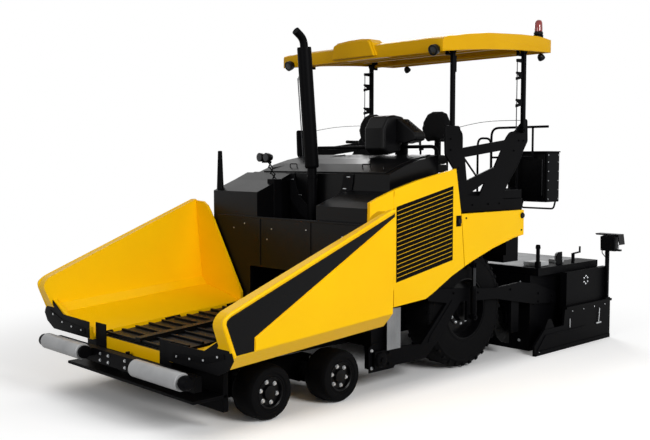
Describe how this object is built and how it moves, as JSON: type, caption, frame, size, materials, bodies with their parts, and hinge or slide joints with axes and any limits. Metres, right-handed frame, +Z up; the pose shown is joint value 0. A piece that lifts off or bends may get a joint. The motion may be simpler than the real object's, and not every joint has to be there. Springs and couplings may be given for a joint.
{
  "type": "wheeled asphalt paver",
  "caption": "Yellow and black wheeled asphalt paver with folding hopper wings, canopy roof, tandem steered front wheels and an extending screed.",
  "frame": {"origin": "on the ground, at the middle of the length and width of the machine as parked", "axes": "+Z up, -Y towards the front (hopper and push rollers), +Y towards the screed, +X towards the machine's left side"},
  "size_m": [3.3032, 6.904, 4.095],
  "materials": {
    "yellow_paint": "gloss yellow paint",
    "black_paint": "satin black paint",
    "grey_paint": "satin light grey paint",
    "rubber": "matte",
    "tyre": "matte",
    "steel": "worn bare steel",
    "chrome": "polished",
    "seat_cover": "woven, dark",
    "lamp": "clear orange-red"
  },
  "bodies": {
    "chassis": {"main_frame": "black_paint", "engine": "black_paint", "conveyors": "steel", "hopper_back_wall": "black_paint", "front_apron": "rubber", "front_axle": "black_paint", "hood": "grey_paint", "exhaust_stack": "black_paint", "platform": "black_paint", "rear_cabinet": "black_paint", "auger_frame": "black_paint", "final_drive_left": "black_paint", "side_panel_front_left": "yellow_paint", "side_panel_rear_left": "yellow_paint", "side_guard_left": "black_paint", "seat_left": "seat_cover", "final_drive_right": "black_paint", "side_panel_front_right": "yellow_paint", "side_panel_rear_right": "yellow_paint", "side_guard_right": "black_paint", "seat_right": "seat_cover"},
    "push_beam": {"push_beam": "black_paint"},
    "console": {"console": "black_paint"},
    "front_posts": {"roof_posts_front": "black_paint"},
    "rear_posts": {"roof_posts_rear": "black_paint"},
    "roof": {"roof": "yellow_paint", "beacon": "lamp"},
    "screed": {"tow_arm_left": "black_paint", "tow_arm_right": "black_paint", "screed_body": "black_paint"},
    "wing_left": {"hopper_wing_left": "yellow_paint"},
    "wing_right": {"hopper_wing_right": "yellow_paint"},
    "push_roller_left": {"push_roller_left": "steel"},
    "push_roller_right": {"push_roller_right": "steel"},
    "knuckle_front_left": {"knuckle_front_left": "black_paint"},
    "wheel_front_left": {"wheel_front_left": "tyre"},
    "knuckle_front_right": {"knuckle_front_right": "black_paint"},
    "wheel_front_right": {"wheel_front_right": "tyre"},
    "knuckle_middle_left": {"knuckle_middle_left": "black_paint"},
    "wheel_middle_left": {"wheel_middle_left": "tyre"},
    "knuckle_middle_right": {"knuckle_middle_right": "black_paint"},
    "wheel_middle_right": {"wheel_middle_right": "tyre"},
    "wheel_rear_left": {"wheel_rear_left": "tyre"},
    "wheel_rear_right": {"wheel_rear_right": "tyre"},
    "side_door_left": {"side_door_left": "yellow_paint"},
    "side_door_right": {"side_door_right": "yellow_paint"},
    "lift_barrel_left": {"lift_barrel_left": "black_paint"},
    "lift_rod_left": {"lift_rod_left": "chrome"},
    "lift_barrel_right": {"lift_barrel_right": "black_paint"},
    "lift_rod_right": {"lift_rod_right": "chrome"},
    "extension_left": {"screed_extension_left": "black_paint", "end_plate_left": "black_paint", "control_station_left": "black_paint"},
    "extension_right": {"screed_extension_right": "black_paint", "end_plate_right": "black_paint", "control_station_right": "black_paint"},
    "auger_left": {"auger_left": "steel"},
    "auger_right": {"auger_right": "steel"}
  },
  "joints": [
    {"name": "wing_fold_left", "type": "hinge", "parent": "chassis", "child": "wing_left", "pos_m": [0.7, -3.15, 0.61], "axis": [0, -0.9978, -0.0665], "range_deg": [0, 45]},
    {"name": "wing_fold_right", "type": "hinge", "parent": "chassis", "child": "wing_right", "pos_m": [-0.7, -3.15, 0.61], "axis": [0, 0.9978, 0.0665], "range_deg": [0, 45]},
    {"name": "push_beam_swing", "type": "hinge", "parent": "chassis", "child": "push_beam", "pos_m": [0, -3.16, 0.49], "axis": [0, 0, 1], "range_deg": [-5, 5]},
    {"name": "push_roller_turn_left", "type": "hinge", "parent": "push_beam", "child": "push_roller_left", "pos_m": [0.84, -3.372, 0.525], "axis": [1, 0, 0], "continuous": true},
    {"name": "push_roller_turn_right", "type": "hinge", "parent": "push_beam", "child": "push_roller_right", "pos_m": [-0.84, -3.372, 0.525], "axis": [1, 0, 0], "continuous": true},
    {"name": "steer_front_left", "type": "hinge", "parent": "chassis", "child": "knuckle_front_left", "pos_m": [0.8, -2.4, 0.26], "axis": [0, 0, 1], "range_deg": [-20, 20]},
    {"name": "wheel_turn_front_left", "type": "hinge", "parent": "knuckle_front_left", "child": "wheel_front_left", "pos_m": [1.08, -2.4, 0.26], "axis": [1, 0, 0], "continuous": true},
    {"name": "steer_front_right", "type": "hinge", "parent": "chassis", "child": "knuckle_front_right", "pos_m": [-0.8, -2.4, 0.26], "axis": [0, 0, 1], "range_deg": [-20.5, 20.5]},
    {"name": "wheel_turn_front_right", "type": "hinge", "parent": "knuckle_front_right", "child": "wheel_front_right", "pos_m": [-1.08, -2.4, 0.26], "axis": [1, 0, 0], "continuous": true},
    {"name": "steer_middle_left", "type": "hinge", "parent": "chassis", "child": "knuckle_middle_left", "pos_m": [0.8, -1.493, 0.26], "axis": [0, 0, 1], "range_deg": [-14.5, 14.5]},
    {"name": "wheel_turn_middle_left", "type": "hinge", "parent": "knuckle_middle_left", "child": "wheel_middle_left", "pos_m": [1.08, -1.493, 0.26], "axis": [1, 0, 0], "continuous": true},
    {"name": "steer_middle_right", "type": "hinge", "parent": "chassis", "child": "knuckle_middle_right", "pos_m": [-0.8, -1.493, 0.26], "axis": [0, 0, 1], "range_deg": [-14.5, 14.5]},
    {"name": "wheel_turn_middle_right", "type": "hinge", "parent": "knuckle_middle_right", "child": "wheel_middle_right", "pos_m": [-1.08, -1.493, 0.26], "axis": [1, 0, 0], "continuous": true},
    {"name": "wheel_turn_rear_left", "type": "hinge", "parent": "chassis", "child": "wheel_rear_left", "pos_m": [0.95, 0.608, 0.683], "axis": [1, 0, 0], "continuous": true},
    {"name": "wheel_turn_rear_right", "type": "hinge", "parent": "chassis", "child": "wheel_rear_right", "pos_m": [-0.95, 0.608, 0.683], "axis": [1, 0, 0], "continuous": true},
    {"name": "side_door_open_left", "type": "hinge", "parent": "chassis", "child": "side_door_left", "pos_m": [1.265, -0.785, 1.5], "axis": [0, 0, -1], "range_deg": [0, 95]},
    {"name": "side_door_open_right", "type": "hinge", "parent": "chassis", "child": "side_door_right", "pos_m": [-1.265, -0.785, 1.5], "axis": [0, 0, 1], "range_deg": [0, 95]},
    {"name": "console_slide", "type": "slide", "parent": "chassis", "child": "console", "axis": [1, 0, 0], "range_m": [-0.9, 0]},
    {"name": "roof_fold", "type": "hinge", "parent": "chassis", "child": "front_posts", "pos_m": [0, 0.28, 2.665], "axis": [-1, 0, 0], "range_deg": [0, 55]},
    {"name": "rear_posts_fold", "type": "hinge", "parent": "chassis", "child": "rear_posts", "pos_m": [0, 1.53, 2.745], "axis": [-1, 0, 0], "range_deg": [-0.5, 55.5]},
    {"name": "roof_level", "type": "hinge", "parent": "front_posts", "child": "roof", "pos_m": [0, 0.28, 3.595], "axis": [-1, 0, 0], "range_deg": [-55.5, 0.5]},
    {"name": "screed_lift", "type": "hinge", "parent": "chassis", "child": "screed", "pos_m": [0, -0.9, 0.33], "axis": [1, 0, 0], "range_deg": [0, 6]},
    {"name": "lift_barrel_swing_left", "type": "hinge", "parent": "screed", "child": "lift_barrel_left", "pos_m": [1.245, 0.6, 0.6], "axis": [1, 0, 0], "range_deg": [-11.5, 0.5]},
    {"name": "lift_rod_stroke_left", "type": "slide", "parent": "lift_barrel_left", "child": "lift_rod_left", "axis": [0, 0, 1], "range_m": [-0.16, 0.005]},
    {"name": "lift_barrel_swing_right", "type": "hinge", "parent": "screed", "child": "lift_barrel_right", "pos_m": [-1.245, 0.6, 0.6], "axis": [1, 0, 0], "range_deg": [-11.5, 0.5]},
    {"name": "lift_rod_stroke_right", "type": "slide", "parent": "lift_barrel_right", "child": "lift_rod_right", "axis": [0, 0, 1], "range_m": [-0.16, 0.005]},
    {"name": "screed_extend_left", "type": "slide", "parent": "screed", "child": "extension_left", "axis": [1, 0, 0], "range_m": [0, 1.25]},
    {"name": "screed_extend_right", "type": "slide", "parent": "screed", "child": "extension_right", "axis": [-1, 0, 0], "range_m": [0, 1.25]},
    {"name": "auger_turn_left", "type": "hinge", "parent": "chassis", "child": "auger_left", "pos_m": [0.6, 1.56, 0.33], "axis": [1, 0, 0], "continuous": true},
    {"name": "auger_turn_right", "type": "hinge", "parent": "chassis", "child": "auger_right", "pos_m": [-0.6, 1.56, 0.33], "axis": [1, 0, 0], "continuous": true}
  ],
  "couplings": [
    {"joint": "steer_front_right", "follows": "steer_front_left", "ratio": 1},
    {"joint": "steer_middle_left", "follows": "steer_front_left", "ratio": 0.7},
    {"joint": "steer_middle_right", "follows": "steer_front_left", "ratio": 0.7},
    {"joint": "rear_posts_fold", "follows": "roof_fold", "ratio": 1},
    {"joint": "roof_level", "follows": "roof_fold", "ratio": -1},
    {"joint": "lift_barrel_swing_left", "follows": "screed_lift", "ratio": -1.78},
    {"joint": "lift_rod_stroke_left", "follows": "screed_lift", "m_per_rad": -1.4687},
    {"joint": "lift_barrel_swing_right", "follows": "screed_lift", "ratio": -1.78},
    {"joint": "lift_rod_stroke_right", "follows": "screed_lift", "m_per_rad": -1.4687}
  ]
}
